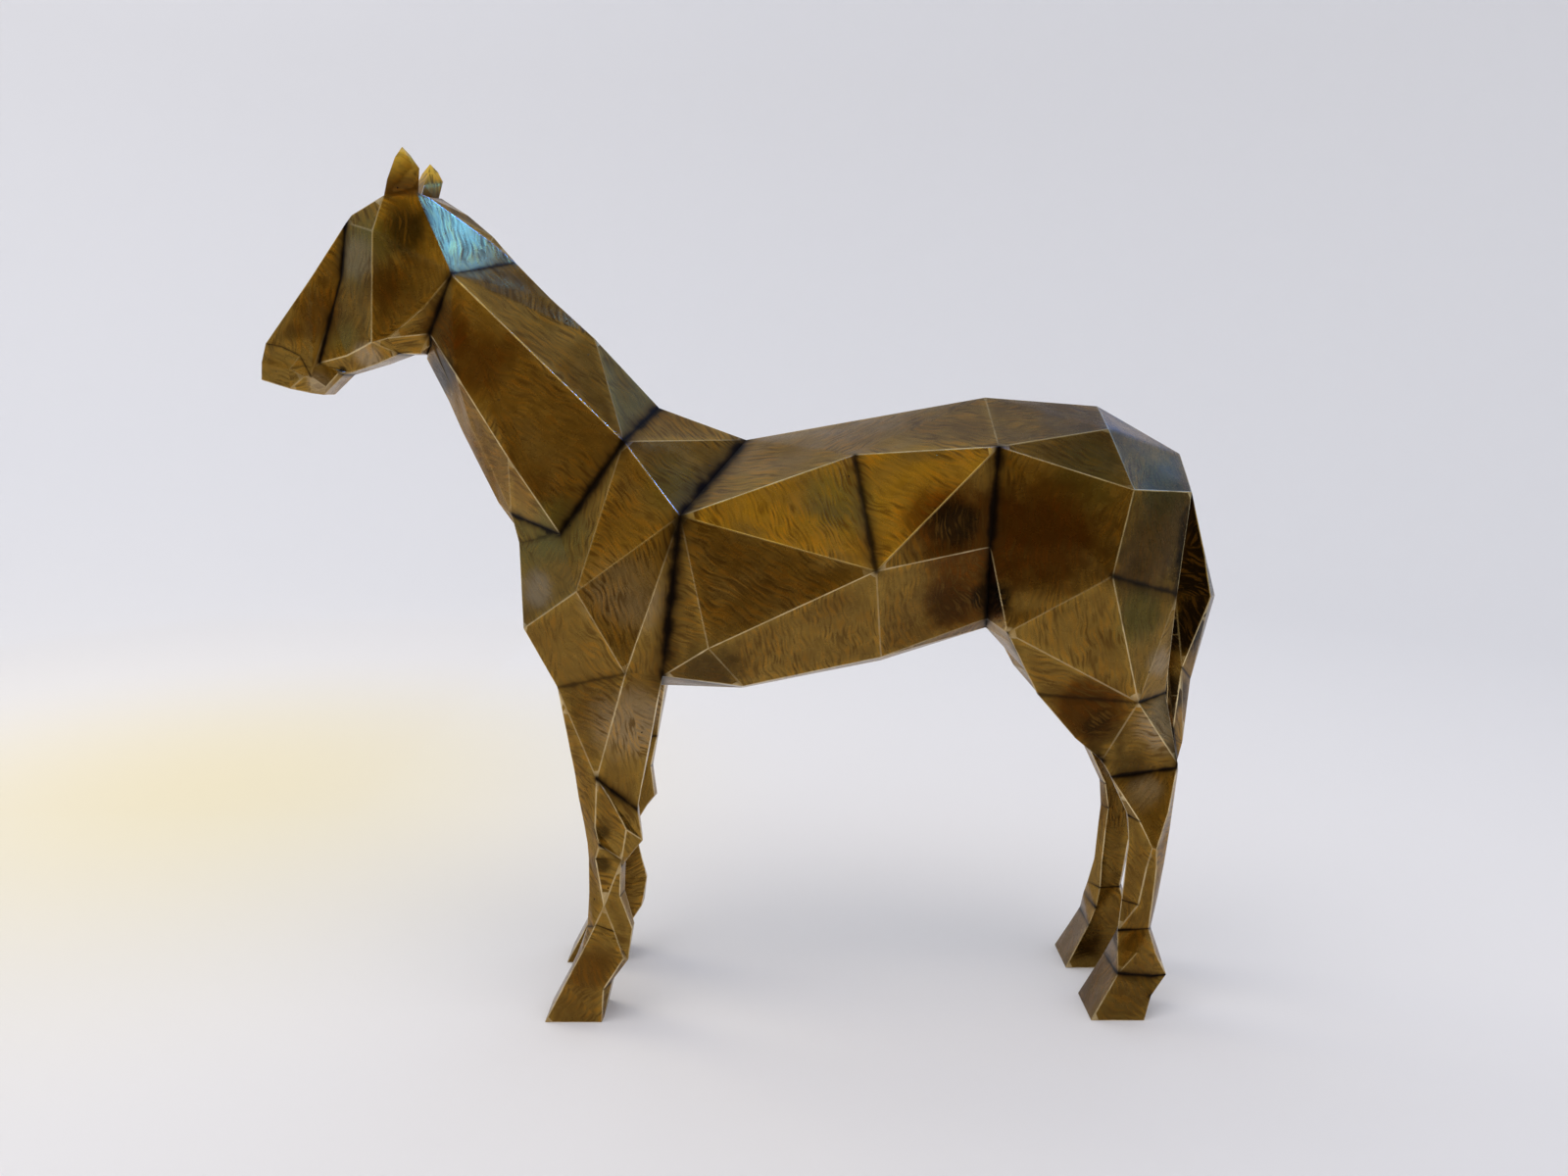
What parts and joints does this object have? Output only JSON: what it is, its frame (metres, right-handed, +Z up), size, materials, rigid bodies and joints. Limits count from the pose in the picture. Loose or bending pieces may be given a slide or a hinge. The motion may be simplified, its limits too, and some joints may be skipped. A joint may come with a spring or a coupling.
{
  "type": "faceted horse sculpture",
  "caption": "Cast bronze figure of a standing horse cut into flat triangular facets, head raised and ears pricked, resting on its own hooves.",
  "frame": {"origin": "centre of the bounding box at floor level, under the horse's belly", "axes": "+X from the nose to the tail, -Y the horse's left side as it faces -X, +Z up"},
  "size_m": [0.39, 0.0904, 0.35],
  "materials": {
    "bronze": "patinated bronze with chased strokes, worn bright on the ridges and dark in the creases"
  },
  "bodies": {
    "root": {"horse": "bronze"}
  },
  "joints": []
}
